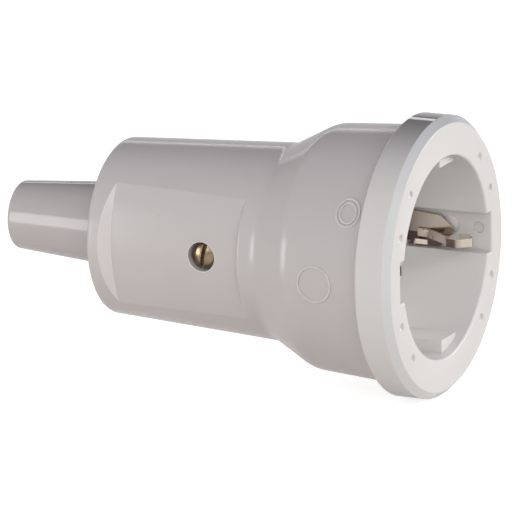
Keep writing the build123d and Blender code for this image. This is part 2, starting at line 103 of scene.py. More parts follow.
# Painted highlight: convex edges and ridges of the shell are painted paler.
shell_ridge_highlight_colour = linear("#f2f0ef")
shell_ridge_highlight_width = 0.00025
shell_ridge_highlight_openness = (0.3, 0.95)
shell_roughness = (0.16, 0.23)
shell_ior = 1.49
shell_edge = 0.00025
shell_ripple_size = 0.009
shell_ripple_octaves = 1.0
shell_ripple_height = 0.00002
shell_peel_size = 0.0011
shell_peel_octaves = 2.0
shell_peel_height = 0.0000016
edge_samples = 6

shell, tree, place = start_material("moulded_grey_polypropylene")
clouds = add_node(
    tree,
    "ShaderNodeTexNoise",
    {"Scale": 1 / shell_cloud_size, "Detail": shell_cloud_octaves},
    {"Vector": place},
)
tint = add_node(
    tree,
    "ShaderNodeMix",
    {6: shell_colour, 7: shell_cloud_colour},
    {0: clouds.outputs["Fac"]},
    data_type="RGBA",
)
specks = add_node(
    tree, "ShaderNodeTexVoronoi", {"Scale": 1 / shell_speck_spacing}, {"Vector": place}
)
speck_mask = add_node(
    tree,
    "ShaderNodeMath",
    {1: shell_speck_share},
    {0: specks.outputs["Distance"]},
    operation="LESS_THAN",
)
speckled = add_node(
    tree,
    "ShaderNodeMix",
    {7: shell_speck_colour},
    {0: speck_mask.outputs[0], 6: tint.outputs[2]},
    data_type="RGBA",
)
axes = add_node(tree, "ShaderNodeSeparateXYZ", links={"Vector": place})
geometry = add_node(tree, "ShaderNodeNewGeometry")
normal = add_node(tree, "ShaderNodeSeparateXYZ", links={"Vector": geometry.outputs["Normal"]})
# Painted light: rear faces that turn forward get the paler ramp colour.
rearward = add_node(
    tree, "ShaderNodeMath", {1: shell_ramp_front}, {0: axes.outputs["X"]}, operation="LESS_THAN"
)
tilted = add_node(
    tree,
    "ShaderNodeMath",
    {1: shell_ramp_facing},
    {0: normal.outputs["X"]},
    operation="GREATER_THAN",
)
ramp_light_mask = add_node(
    tree,
    "ShaderNodeMath",
    links={0: rearward.outputs[0], 1: tilted.outputs[0]},
    operation="MULTIPLY",
)
ramp_lit = add_node(
    tree,
    "ShaderNodeMix",
    {7: shell_ramp_light_colour},
    {0: ramp_light_mask.outputs[0], 6: speckled.outputs[2]},
    data_type="RGBA",
)
# Painted shade: occlusion darkens the shell in its corners.
corners = add_node(
    tree, "ShaderNodeAmbientOcclusion", {"Distance": shell_corner_shade_reach}, samples=edge_samples
)
corner_shade_mask = add_node(
    tree,
    "ShaderNodeMapRange",
    {
        "From Min": shell_corner_shade_openness[0],
        "From Max": shell_corner_shade_openness[1],
        "To Min": shell_corner_shade_share,
        "To Max": 0.0,
    },
    {"Value": corners.outputs["AO"]},
)
shade_painted = add_node(
    tree,
    "ShaderNodeMix",
    {7: shell_corner_shade_colour},
    {0: corner_shade_mask.outputs["Result"], 6: ramp_lit.outputs[2]},
    data_type="RGBA",
)
# Painted highlight: an inverted occlusion mask lightens the shell's convex edges.
ridges = add_node(
    tree,
    "ShaderNodeAmbientOcclusion",
    {"Distance": shell_ridge_highlight_width},
    samples=edge_samples,
    inside=True,
)
ridge_highlight_mask = add_node(
    tree,
    "ShaderNodeMapRange",
    {
        "From Min": shell_ridge_highlight_openness[0],
        "From Max": shell_ridge_highlight_openness[1],
        "To Min": 1.0,
        "To Max": 0.0,
    },
    {"Value": ridges.outputs["AO"]},
)
ridge_highlighted = add_node(
    tree,
    "ShaderNodeMix",
    {7: shell_ridge_highlight_colour},
    {0: ridge_highlight_mask.outputs["Result"], 6: shade_painted.outputs[2]},
    data_type="RGBA",
)
gloss = add_node(
    tree,
    "ShaderNodeMapRange",
    {"To Min": shell_roughness[0], "To Max": shell_roughness[1]},
    {"Value": clouds.outputs["Fac"]},
)
rounded = add_node(tree, "ShaderNodeBevel", {"Radius": shell_edge}, samples=edge_samples)
ripple = add_node(
    tree,
    "ShaderNodeTexNoise",
    {"Scale": 1 / shell_ripple_size, "Detail": shell_ripple_octaves},
    {"Vector": place},
)
waved = add_node(
    tree,
    "ShaderNodeBump",
    {"Distance": shell_ripple_height},
    {"Height": ripple.outputs["Fac"], "Normal": rounded.outputs["Normal"]},
)
peel = add_node(
    tree,
    "ShaderNodeTexNoise",
    {"Scale": 1 / shell_peel_size, "Detail": shell_peel_octaves},
    {"Vector": place},
)
peeled = add_node(
    tree,
    "ShaderNodeBump",
    {"Distance": shell_peel_height},
    {"Height": peel.outputs["Fac"], "Normal": waved.outputs["Normal"]},
)
surface = add_node(
    tree,
    "ShaderNodeBsdfPrincipled",
    {"IOR": shell_ior},
    {
        "Base Color": ridge_highlighted.outputs[2],
        "Roughness": gloss.outputs["Result"],
        "Normal": peeled.outputs["Normal"],
    },
)
add_node(tree, "ShaderNodeOutputMaterial", links={"Surface": surface.outputs["BSDF"]})
nodes["housing"].material_slots[0].material = shell


# Cable boot: the bend guard at the rear, moulded from soft grey vinyl.
# Its inner collar sits behind the rear wall of the housing, so it can't be pulled out.
# Vinyl is slightly darker and greasier than the shell, with a tight highlight along it.
boot_colour = linear("#b9b5b4")
boot_worn_colour = linear("#afabaa")
boot_cloud_size = 0.008
boot_cloud_octaves = 4.0
boot_roughness = (0.09, 0.15)
boot_ior = 1.53
boot_edge = 0.00025
boot_ripple_size = 0.006
boot_ripple_octaves = 2.0
boot_ripple_height = 0.00002

vinyl, tree, place = start_material("moulded_soft_grey_vinyl")
clouds = add_node(
    tree,
    "ShaderNodeTexNoise",
    {"Scale": 1 / boot_cloud_size, "Detail": boot_cloud_octaves},
    {"Vector": place},
)
tint = add_node(
    tree,
    "ShaderNodeMix",
    {6: boot_colour, 7: boot_worn_colour},
    {0: clouds.outputs["Fac"]},
    data_type="RGBA",
)
gloss = add_node(
    tree,
    "ShaderNodeMapRange",
    {"To Min": boot_roughness[0], "To Max": boot_roughness[1]},
    {"Value": clouds.outputs["Fac"]},
)
rounded = add_node(tree, "ShaderNodeBevel", {"Radius": boot_edge}, samples=edge_samples)
ripple = add_node(
    tree,
    "ShaderNodeTexNoise",
    {"Scale": 1 / boot_ripple_size, "Detail": boot_ripple_octaves},
    {"Vector": place},
)
waved = add_node(
    tree,
    "ShaderNodeBump",
    {"Distance": boot_ripple_height},
    {"Height": ripple.outputs["Fac"], "Normal": rounded.outputs["Normal"]},
)
surface = add_node(
    tree,
    "ShaderNodeBsdfPrincipled",
    {"IOR": boot_ior},
    {
        "Base Color": tint.outputs[2],
        "Roughness": gloss.outputs["Result"],
        "Normal": waved.outputs["Normal"],
    },
)
add_node(tree, "ShaderNodeOutputMaterial", links={"Surface": surface.outputs["BSDF"]})
nodes["cable_boot"].material_slots[0].material = vinyl


# Socket insert: flange, cavity and floor in one moulding of off-white urea resin that carries the
# contacts on its back. Urea is hard and dense: a satin face, a glossy band and a cooler chamfer.
# Painted shade darkens its corners, its dimples, the band's top and bottom and the chamfer's top,
# and painted light whitens the round mark in each recess.
insert_colour = linear("#dbdad9")
insert_aged_colour = linear("#d8d6d4")
insert_cloud_size = 0.02
insert_cloud_octaves = 3.0
# Painted shade: the insert's corners are darkened through an occlusion mask.
insert_corner_shade_colour = linear("#a39c92")
insert_corner_shade_reach = 0.0012
insert_corner_shade_openness = (0.25, 0.7)
insert_corner_shade_share = 0.4
# Painted shade: the dimples in the face are darkened through the same occlusion.
insert_pit_shade_openness = (0.7, 0.98)
insert_pit_shade_share = 0.8
insert_pit_depth = 0.0008
insert_pit_radius = 0.0219
insert_ring_radius = 0.02602
# Painted shade: the glossy band is painted darker towards its top and bottom.
insert_band_colour = linear("#d6d5d3")
insert_band_shade_colour = linear("#8e8d8d")
insert_band_fall = 7.0
# Painted shade: the chamfer is painted darker and bluer where it faces up.
insert_chamfer_colour = linear("#d9dbdb")
insert_chamfer_top_shade_colour = linear("#bbbdc0")
insert_chamfer_depth = 0.0014
insert_chamfer_slope = 0.707
insert_chamfer_fall = 3.0
# Painted light: the round mark in each recess is painted white against its shade.
insert_mark_light_colour = linear("#ffffff")
insert_mark_centre = (-0.0088, 0.0216, 0.0006)
insert_mark_radius = 0.00193
insert_roughness = (0.2, 0.28)
insert_rim_radius = 0.0271
insert_rim_roughness = 0.07
insert_ior = 1.55
insert_edge = 0.0002
insert_peel_size = 0.0009
insert_peel_octaves = 2.0
insert_peel_height = 0.0000015

urea, tree, place = start_material("moulded_off_white_urea")
clouds = add_node(
    tree,
    "ShaderNodeTexNoise",
    {"Scale": 1 / insert_cloud_size, "Detail": insert_cloud_octaves},
    {"Vector": place},
)
tint = add_node(
    tree,
    "ShaderNodeMix",
    {6: insert_colour, 7: insert_aged_colour},
    {0: clouds.outputs["Fac"]},
    data_type="RGBA",
)
# Painted shade: occlusion darkens corners everywhere and the dimples on the face.
corners = add_node(
    tree, "ShaderNodeAmbientOcclusion", {"Distance": insert_corner_shade_reach}, samples=edge_samples
)
corner_shade_mask = add_node(
    tree,
    "ShaderNodeMapRange",
    {
        "From Min": insert_corner_shade_openness[0],
        "From Max": insert_corner_shade_openness[1],
        "To Min": insert_corner_shade_share,
        "To Max": 0.0,
    },
    {"Value": corners.outputs["AO"]},
)
pit_shade = add_node(
    tree,
    "ShaderNodeMapRange",
    {
        "From Min": insert_pit_shade_openness[0],
        "From Max": insert_pit_shade_openness[1],
        "To Min": insert_pit_shade_share,
        "To Max": 0.0,
    },
    {"Value": corners.outputs["AO"]},
)
axes = add_node(tree, "ShaderNodeSeparateXYZ", links={"Vector": place})
front = add_node(
    tree,
    "ShaderNodeMath",
    {1: -insert_pit_depth},
    {0: axes.outputs["X"]},
    operation="GREATER_THAN",
)
across = add_node(tree, "ShaderNodeMapping", {"Scale": (0.0, 1.0, 1.0)}, {"Vector": place})
radius = add_node(
    tree, "ShaderNodeVectorMath", links={0: across.outputs["Vector"]}, operation="LENGTH"
)
outer = add_node(
    tree,
    "ShaderNodeMath",
    {1: insert_pit_radius},
    {0: radius.outputs["Value"]},
    operation="GREATER_THAN",
)
face_mask = add_node(
    tree,
    "ShaderNodeMath",
    links={0: front.outputs[0], 1: outer.outputs[0]},
    operation="MULTIPLY",
)
pit_shade_mask = add_node(
    tree,
    "ShaderNodeMath",
    links={0: pit_shade.outputs["Result"], 1: face_mask.outputs[0]},
    operation="MULTIPLY",
)
painted_shade_share = add_node(
    tree,
    "ShaderNodeMath",
    links={0: corner_shade_mask.outputs["Result"], 1: pit_shade_mask.outputs[0]},
    operation="MAXIMUM",
)
geometry = add_node(tree, "ShaderNodeNewGeometry")
normal = add_node(tree, "ShaderNodeSeparateXYZ", links={"Vector": geometry.outputs["Normal"]})
steep = add_node(tree, "ShaderNodeMath", links={0: normal.outputs["Z"]}, operation="ABSOLUTE")
# Painted shade: the band darkens as its normal turns up or down.
band_shade = add_node(
    tree, "ShaderNodeMath", {1: insert_band_fall}, {0: steep.outputs[0]}, operation="POWER"
)
band = add_node(
    tree,
    "ShaderNodeMix",
    {6: insert_band_colour, 7: insert_band_shade_colour},
    {0: band_shade.outputs[0]},
    data_type="RGBA",
)
# Painted shade: the chamfer darkens as its normal turns upward.
upward = add_node(
    tree,
    "ShaderNodeMapRange",
    {"From Max": insert_chamfer_slope},
    {"Value": normal.outputs["Z"]},
)
chamfer_shade = add_node(
    tree,
    "ShaderNodeMath",
    {1: insert_chamfer_fall},
    {0: upward.outputs["Result"]},
    operation="POWER",
)
chamfer = add_node(
    tree,
    "ShaderNodeMix",
    {6: insert_chamfer_colour, 7: insert_chamfer_top_shade_colour},
    {0: chamfer_shade.outputs[0]},
    data_type="RGBA",
)
sloped = add_node(
    tree,
    "ShaderNodeMath",
    {1: -insert_chamfer_depth},
    {0: axes.outputs["X"]},
    operation="GREATER_THAN",
)
ring_tint = add_node(
    tree,
    "ShaderNodeMix",
    links={0: sloped.outputs[0], 6: band.outputs[2], 7: chamfer.outputs[2]},
    data_type="RGBA",
)
ring_mask = add_node(
    tree,
    "ShaderNodeMath",
    {1: insert_ring_radius},
    {0: radius.outputs["Value"]},
    operation="GREATER_THAN",
)
shade_toned = add_node(
    tree,
    "ShaderNodeMix",
    links={0: ring_mask.outputs[0], 6: tint.outputs[2], 7: ring_tint.outputs[2]},
    data_type="RGBA",
)
side = add_node(tree, "ShaderNodeMath", links={0: axes.outputs["Y"]}, operation="SIGN")
height = add_node(
    tree,
    "ShaderNodeMath",
    links={0: axes.outputs["Z"], 1: side.outputs[0]},
    operation="MULTIPLY",
)
reach = add_node(tree, "ShaderNodeMath", links={0: axes.outputs["Y"]}, operation="ABSOLUTE")
# Painted light: a disc round each recess mark is painted white.
on_wall = add_node(
    tree,
    "ShaderNodeCombineXYZ",
    links={"X": axes.outputs["X"], "Y": reach.outputs[0], "Z": height.outputs[0]},
)
off_mark = add_node(
    tree,
    "ShaderNodeVectorMath",
    {1: insert_mark_centre},
    {0: on_wall.outputs["Vector"]},
    operation="DISTANCE",
)
mark_light_mask = add_node(
    tree,
    "ShaderNodeMath",
    {1: insert_mark_radius},
    {0: off_mark.outputs["Value"]},
    operation="LESS_THAN",
)
mark_lit = add_node(
    tree,
    "ShaderNodeMix",
    {7: insert_mark_light_colour},
    {0: mark_light_mask.outputs[0], 6: shade_toned.outputs[2]},
    data_type="RGBA",
)
# Painted shade from corners and dimples is mixed in here.
shade_painted = add_node(
    tree,
    "ShaderNodeMix",
    {7: insert_corner_shade_colour},
    {0: painted_shade_share.outputs[0], 6: mark_lit.outputs[2]},
    data_type="RGBA",
)
satin = add_node(
    tree,
    "ShaderNodeMapRange",
    {"To Min": insert_roughness[0], "To Max": insert_roughness[1]},
    {"Value": clouds.outputs["Fac"]},
)
rim_mask = add_node(
    tree,
    "ShaderNodeMath",
    {1: insert_rim_radius},
    {0: radius.outputs["Value"]},
    operation="GREATER_THAN",
)
gloss = add_node(
    tree,
    "ShaderNodeMix",
    {3: insert_rim_roughness},
    {0: rim_mask.outputs[0], 2: satin.outputs["Result"]},
)
rounded = add_node(tree, "ShaderNodeBevel", {"Radius": insert_edge}, samples=edge_samples)
peel = add_node(
    tree,
    "ShaderNodeTexNoise",
    {"Scale": 1 / insert_peel_size, "Detail": insert_peel_octaves},
    {"Vector": place},
)
peeled = add_node(
    tree,
    "ShaderNodeBump",
    {"Distance": insert_peel_height},
    {"Height": peel.outputs["Fac"], "Normal": rounded.outputs["Normal"]},
)
surface = add_node(
    tree,
    "ShaderNodeBsdfPrincipled",
    {"IOR": insert_ior},
    {
        "Base Color": shade_painted.outputs[2],
        "Roughness": gloss.outputs[0],
        "Normal": peeled.outputs["Normal"],
    },
)
add_node(tree, "ShaderNodeOutputMaterial", links={"Surface": surface.outputs["BSDF"]})
nodes["socket_insert"].material_slots[0].material = urea


# Earth clips: a bracket, two hooked springs and the rivets that join them, of brass strip that is
# blanked, bent and nickel plated. They slide into the insert's recesses. Rolling leaves lines along
# the strip. Painted shade darkens the arms under and below the springs, the springs' inner bend and
# the backs of their tips, and the arms are painted a little darker than the springs.
nickel_colour = linear("#eae1d5")
nickel_cloud_colour = linear("#d4c9bb")
nickel_cloud_size = 0.003
nickel_cloud_octaves = 3.0
# Painted shade: the bracket arms are toned darker than the springs.
nickel_arm_shade_tone = linear("#e2e1e0")
nickel_arm_reach = 0.0203
# Painted shade: the dark colour laid under the springs, on bends and behind tips.
nickel_shade_colour = linear("#675354")
nickel_gap_reach = 0.005
nickel_gap_openness = (0.35, 0.62)
nickel_gap_samples = 8
nickel_bend_reach = 0.0155
nickel_bend_front = -0.0041
nickel_bend_soft = 0.0008
nickel_low_height = -0.0012
nickel_tip_front = -0.0025
nickel_tip_facing = -0.15
# Real rolling lines are some hundredths of a millimetre wide, drawn coarser here so that they show.
nickel_line_length = 0.006
nickel_line_width = 0.00018
nickel_line_octaves = 2.0
nickel_line_height = 0.000002
nickel_roughness = (0.1, 0.24)
nickel_edge = 0.00012

nickel, tree, place = start_material("nickel_plated_brass_strip")
clouds = add_node(
    tree,
    "ShaderNodeTexNoise",
    {"Scale": 1 / nickel_cloud_size, "Detail": nickel_cloud_octaves},
    {"Vector": place},
)
tint = add_node(
    tree,
    "ShaderNodeMix",
    {6: nickel_colour, 7: nickel_cloud_colour},
    {0: clouds.outputs["Fac"]},
    data_type="RGBA",
)
stretched = add_node(
    tree,
    "ShaderNodeMapping",
    {"Scale": (1 / nickel_line_length, 1 / nickel_line_width, 1 / nickel_line_width)},
    {"Vector": place},
)
lines = add_node(
    tree,
    "ShaderNodeTexNoise",
    {"Scale": 1.0, "Detail": nickel_line_octaves},
    {"Vector": stretched.outputs["Vector"]},
)
# Painted shade: occlusion, bend, low-edge and tip masks darken the clip metal.
corners = add_node(
    tree, "ShaderNodeAmbientOcclusion", {"Distance": nickel_gap_reach}, samples=nickel_gap_samples
)
gap_mask = add_node(
    tree,
    "ShaderNodeMapRange",
    {
        "From Min": nickel_gap_openness[0],
        "From Max": nickel_gap_openness[1],
        "To Min": 1.0,
        "To Max": 0.0,
    },
    {"Value": corners.outputs["AO"]},
)
axes = add_node(tree, "ShaderNodeSeparateXYZ", links={"Vector": place})
reach = add_node(tree, "ShaderNodeMath", links={0: axes.outputs["Y"]}, operation="ABSOLUTE")
inward = add_node(
    tree,
    "ShaderNodeMapRange",
    {
        "From Min": nickel_bend_reach - nickel_bend_soft,
        "From Max": nickel_bend_reach + nickel_bend_soft,
        "To Min": 1.0,
        "To Max": 0.0,
    },
    {"Value": reach.outputs[0]},
)
behind = add_node(
    tree,
    "ShaderNodeMapRange",
    {
        "From Min": nickel_bend_front - nickel_bend_soft,
        "From Max": nickel_bend_front + nickel_bend_soft,
        "To Min": 1.0,
        "To Max": 0.0,
    },
    {"Value": axes.outputs["X"]},
)
bend_mask = add_node(
    tree,
    "ShaderNodeMath",
    links={0: inward.outputs["Result"], 1: behind.outputs["Result"]},
    operation="MULTIPLY",
)
outward = add_node(
    tree,
    "ShaderNodeMath",
    {1: nickel_arm_reach},
    {0: reach.outputs[0]},
    operation="GREATER_THAN",
)
arm_mask = add_node(
    tree,
    "ShaderNodeMath",
    links={0: gap_mask.outputs["Result"], 1: outward.outputs[0]},
    operation="MULTIPLY",
)
side = add_node(tree, "ShaderNodeMath", links={0: axes.outputs["Y"]}, operation="SIGN")
height = add_node(
    tree,
    "ShaderNodeMath",
    links={0: axes.outputs["Z"], 1: side.outputs[0]},
    operation="MULTIPLY",
)
below = add_node(
    tree,
    "ShaderNodeMath",
    {1: nickel_low_height},
    {0: height.outputs[0]},
    operation="LESS_THAN",
)
low_mask = add_node(
    tree,
    "ShaderNodeMath",
    links={0: below.outputs[0], 1: outward.outputs[0]},
    operation="MULTIPLY",
)
arm_shade = add_node(
    tree,
    "ShaderNodeMath",
    links={0: arm_mask.outputs[0], 1: low_mask.outputs[0]},
    operation="MAXIMUM",
)
shade = add_node(
    tree,
    "ShaderNodeMath",
    links={0: arm_shade.outputs[0], 1: bend_mask.outputs[0]},
    operation="MAXIMUM",
)
geometry = add_node(tree, "ShaderNodeNewGeometry")
normal = add_node(tree, "ShaderNodeSeparateXYZ", links={"Vector": geometry.outputs["Normal"]})
facing = add_node(tree, "ShaderNodeMath", links={0: normal.outputs["Y"]}, operation="ABSOLUTE")
flat_shade = add_node(
    tree,
    "ShaderNodeMath",
    links={0: shade.outputs[0], 1: facing.outputs[0]},
    operation="MULTIPLY",
)
foremost = add_node(
    tree,
    "ShaderNodeMath",
    {1: nickel_tip_front},
    {0: axes.outputs["X"]},
    operation="GREATER_THAN",
)
wallward = add_node(
    tree,
    "ShaderNodeMath",
    links={0: normal.outputs["Y"], 1: side.outputs[0]},
    operation="MULTIPLY",
)
back = add_node(
    tree,
    "ShaderNodeMath",
    {1: nickel_tip_facing},
    {0: wallward.outputs[0]},
    operation="GREATER_THAN",
)
tip_mask = add_node(
    tree,
    "ShaderNodeMath",
    links={0: foremost.outputs[0], 1: back.outputs[0]},
    operation="MULTIPLY",
)
# Painted shade: all the clip's shade masks are combined here.
painted_shade = add_node(
    tree,
    "ShaderNodeMath",
    links={0: flat_shade.outputs[0], 1: tip_mask.outputs[0]},
    operation="MAXIMUM",
)
# Painted shade: the arms are multiplied darker than the springs.
shade_toned = add_node(
    tree,
    "ShaderNodeMix",
    {7: nickel_arm_shade_tone},
    {0: outward.outputs[0], 6: tint.outputs[2]},
    data_type="RGBA",
    blend_type="MULTIPLY",
)
darkened = add_node(
    tree,
    "ShaderNodeMix",
    {7: nickel_shade_colour},
    {0: painted_shade.outputs[0], 6: shade_toned.outputs[2]},
    data_type="RGBA",
)
gloss = add_node(
    tree,
    "ShaderNodeMapRange",
    {"To Min": nickel_roughness[0], "To Max": nickel_roughness[1]},
    {"Value": lines.outputs["Fac"]},
)
rounded = add_node(tree, "ShaderNodeBevel", {"Radius": nickel_edge}, samples=edge_samples)
rolled = add_node(
    tree,
    "ShaderNodeBump",
    {"Distance": nickel_line_height},
    {"Height": lines.outputs["Fac"], "Normal": rounded.outputs["Normal"]},
)
surface = add_node(
    tree,
    "ShaderNodeBsdfPrincipled",
    {"Metallic": 1.0},
    {
        "Base Color": darkened.outputs[2],
        "Roughness": gloss.outputs["Result"],
        "Normal": rolled.outputs["Normal"],
    },
)
add_node(tree, "ShaderNodeOutputMaterial", links={"Surface": surface.outputs["BSDF"]})
for name in ("earth_bracket", "earth_spring_right", "earth_spring_left", "earth_rivets"):
    nodes[name].material_slots[0].material = nickel


# Earth lugs: a small lug bent inward from the lower edge of each bracket arm, of the same strip.
# It starts at the arm with a wider foot and thins out to its end.
# The second lug is the first one turned half round about the coupler's axis.
lug_length = 0.0021
lug_thickness = 0.0002
lug_height = 0.001
lug_foot = (0.0009, 0.0001, 0.0)
lug_edge = 0.00006
lug_edge_steps = 2
lug_turn = radians(45.0)
lug_dip = radians(13.0)
lug_centre = (-0.0147, 0.0197, -0.003)
lug_taper = 0.15
end_facing = 0.9
lug_aim = Matrix.Rotation(lug_turn, 3, "Z") @ Matrix.Rotation(lug_dip, 3, "Y")
lug_run = lug_aim @ Vector((1.0, 0.0, 0.0))
lug_end = Vector(lug_centre) - lug_run * lug_length / 2

bpy.ops.mesh.primitive_cube_add(
    size=1.0, location=lug_centre, rotation=(0.0, lug_dip, lug_turn)
)
lug_right = bpy.context.object
lug_right.name = "earth_lug_right"
lug_right.scale = (lug_length, lug_thickness, lug_height)
bpy.ops.object.transform_apply(location=True, rotation=True, scale=True)
for face in lug_right.data.polygons:
    face.select = face.normal.dot(lug_run) > end_facing
bpy.ops.object.mode_set(mode="EDIT")
bpy.ops.mesh.select_mode(type="FACE")
bpy.ops.mesh.extrude_region_move(TRANSFORM_OT_translate={"value": lug_foot})
bpy.ops.mesh.select_all(action="DESELECT")
bpy.ops.object.mode_set(mode="OBJECT")
for face in lug_right.data.polygons:
    face.select = face.normal.dot(lug_run) < -end_facing
bpy.ops.object.mode_set(mode="EDIT")
bpy.ops.transform.resize(value=(lug_taper, lug_taper, 1.0), center_override=lug_end)
bpy.ops.mesh.select_all(action="SELECT")
bpy.ops.mesh.bevel(offset=lug_edge, segments=lug_edge_steps, clamp_overlap=True)
bpy.ops.object.mode_set(mode="OBJECT")
lug_right.data.materials.append(nickel)
bpy.ops.object.duplicate()
lug_left = bpy.context.object
lug_left.name = "earth_lug_left"
bpy.ops.transform.rotate(value=pi, orient_axis="X", center_override=(0.0, 0.0, 0.0))
bpy.ops.object.transform_apply(location=True, rotation=True)
for lug in (lug_right, lug_left):
    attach(lug, "root")


# Contact carrier and cable clamp: grey polyamide mouldings behind the insert, out of sight.
# The carrier is screwed to the insert, and the clamp presses the cable on the carrier's tail.
# The spark-eroded mould gives them a dull, pitted skin, drawn coarser than the real pits to show.
carrier_colour = linear("#9d9893")
carrier_dark_colour = linear("#8d8782")
carrier_grain_size = 0.0007
carrier_grain_octaves = 3.0
carrier_grain_height = 0.00001
carrier_roughness = 0.6
carrier_ior = 1.53

polyamide, tree, place = start_material("spark_textured_polyamide")
grain = add_node(
    tree,
    "ShaderNodeTexNoise",
    {"Scale": 1 / carrier_grain_size, "Detail": carrier_grain_octaves},
    {"Vector": place},
)
tint = add_node(
    tree,
    "ShaderNodeMix",
    {6: carrier_dark_colour, 7: carrier_colour},
    {0: grain.outputs["Fac"]},
    data_type="RGBA",
)
pitted = add_node(
    tree, "ShaderNodeBump", {"Distance": carrier_grain_height}, {"Height": grain.outputs["Fac"]}
)
surface = add_node(
    tree,
    "ShaderNodeBsdfPrincipled",
    {"IOR": carrier_ior, "Roughness": carrier_roughness},
    {"Base Color": tint.outputs[2], "Normal": pitted.outputs["Normal"]},
)
add_node(tree, "ShaderNodeOutputMaterial", links={"Surface": surface.outputs["BSDF"]})
for name in ("contact_carrier", "cable_clamp"):
    nodes[name].material_slots[0].material = polyamide


# Contacts, earth terminal and threaded bush: free-cutting brass, turned and milled.
# The contacts drop into the carrier's towers, and the bush is pressed into its tail.
# Turning leaves rings across the axis, drawn coarser than real ones, and the metal has dulled.
brass_colour = linear("#c9a95c")
brass_dull_colour = linear("#a5853f")
brass_cloud_size = 0.002
brass_cloud_octaves = 3.0
brass_ring_spacing = 0.0004
brass_ring_wander = 0.6
brass_roughness = (0.2, 0.34)
# At scale 1 the wave texture repeats every 0.31 m.
wave_repeat = 0.31

brass, tree, place = start_material("turned_brass")
clouds = add_node(
    tree,
    "ShaderNodeTexNoise",
    {"Scale": 1 / brass_cloud_size, "Detail": brass_cloud_octaves},
    {"Vector": place},
)
tint = add_node(
    tree,
    "ShaderNodeMix",
    {6: brass_colour, 7: brass_dull_colour},
    {0: clouds.outputs["Fac"]},
    data_type="RGBA",
)
rings = add_node(
    tree,
    "ShaderNodeTexWave",
    {"Scale": wave_repeat / brass_ring_spacing, "Distortion": brass_ring_wander},
    {"Vector": place},
)
gloss = add_node(
    tree,
    "ShaderNodeMapRange",
    {"To Min": brass_roughness[0], "To Max": brass_roughness[1]},
    {"Value": rings.outputs["Fac"]},
)
surface = add_node(
    tree,
    "ShaderNodeBsdfPrincipled",
    {"Metallic": 1.0},
    {"Base Color": tint.outputs[2], "Roughness": gloss.outputs["Result"]},
)
add_node(tree, "ShaderNodeOutputMaterial", links={"Surface": surface.outputs["BSDF"]})
for name in ("live_contact", "neutral_contact", "earth_terminal", "threaded_bush"):
    nodes[name].material_slots[0].material = brass


# Ring springs: open rings of blank spring steel wire that press the slit contacts together.
# They are coiled, hardened and blued a little by the heat.
blued_colour = linear("#8a8b90")
blued_dark_colour = linear("#6c6c74")
blued_cloud_size = 0.0015
blued_cloud_octaves = 2.0
blued_roughness = 0.32

spring_steel, tree, place = start_material("tempered_spring_steel")
clouds = add_node(
    tree,
    "ShaderNodeTexNoise",
    {"Scale": 1 / blued_cloud_size, "Detail": blued_cloud_octaves},
    {"Vector": place},
)
tint = add_node(
    tree,
    "ShaderNodeMix",
    {6: blued_colour, 7: blued_dark_colour},
    {0: clouds.outputs["Fac"]},
    data_type="RGBA",
)
surface = add_node(
    tree,
    "ShaderNodeBsdfPrincipled",
    {"Metallic": 1.0, "Roughness": blued_roughness},
    {"Base Color": tint.outputs[2]},
)
add_node(tree, "ShaderNodeOutputMaterial", links={"Surface": surface.outputs["BSDF"]})
for name in ("live_ring_spring", "neutral_ring_spring"):
    nodes[name].material_slots[0].material = spring_steel


# Inner screws: slotted steel screws of the terminals, the carrier and the cable clamp.
# They are cold headed, thread rolled and zinc plated, which leaves a blue grey, mottled shine.
zinc_colour = linear("#b9bcc0")
zinc_spangle_colour = linear("#a2a6ac")
zinc_spangle_size = 0.0012
zinc_roughness = (0.25, 0.4)

zinc, tree, place = start_material("zinc_plated_steel")
spangle = add_node(
    tree, "ShaderNodeTexVoronoi", {"Scale": 1 / zinc_spangle_size}, {"Vector": place}
)
tint = add_node(
    tree,
    "ShaderNodeMix",
    {6: zinc_colour, 7: zinc_spangle_colour},
    {0: spangle.outputs["Distance"]},
    data_type="RGBA",
)
gloss = add_node(
    tree,
    "ShaderNodeMapRange",
    {"To Min": zinc_roughness[0], "To Max": zinc_roughness[1]},
    {"Value": spangle.outputs["Distance"]},
)
surface = add_node(
    tree,
    "ShaderNodeBsdfPrincipled",
    {"Metallic": 1.0},
    {"Base Color": tint.outputs[2], "Roughness": gloss.outputs["Result"]},
)
add_node(tree, "ShaderNodeOutputMaterial", links={"Surface": surface.outputs["BSDF"]})
for name in ("line_terminal_screws", "earth_terminal_screw", "carrier_screws", "clamp_screws"):
    nodes[name].material_slots[0].material = zinc


# Housing screw: the domed, slotted brass screw in the side, turned into the bush in the tail.
# Its head was turned round its own axis, which leaves rings that are drawn coarser than real ones.
# It has been handled and left to tarnish, darkest in the slot and along the edge.
head_colour = linear("#bfae8f")
head_tarnish_colour = linear("#4d3534")
head_tarnish_size = 0.0016
head_tarnish_octaves = 4.0
head_grime_reach = 0.0005
head_ring_spacing = 0.0003
head_ring_wander = 0.5
head_roughness = (0.16, 0.3)
head_edge = 0.00012
screw_low, screw_high = (Vector(corner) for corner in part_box("housing_screw"))
screw_centre = (screw_low + screw_high) / 2

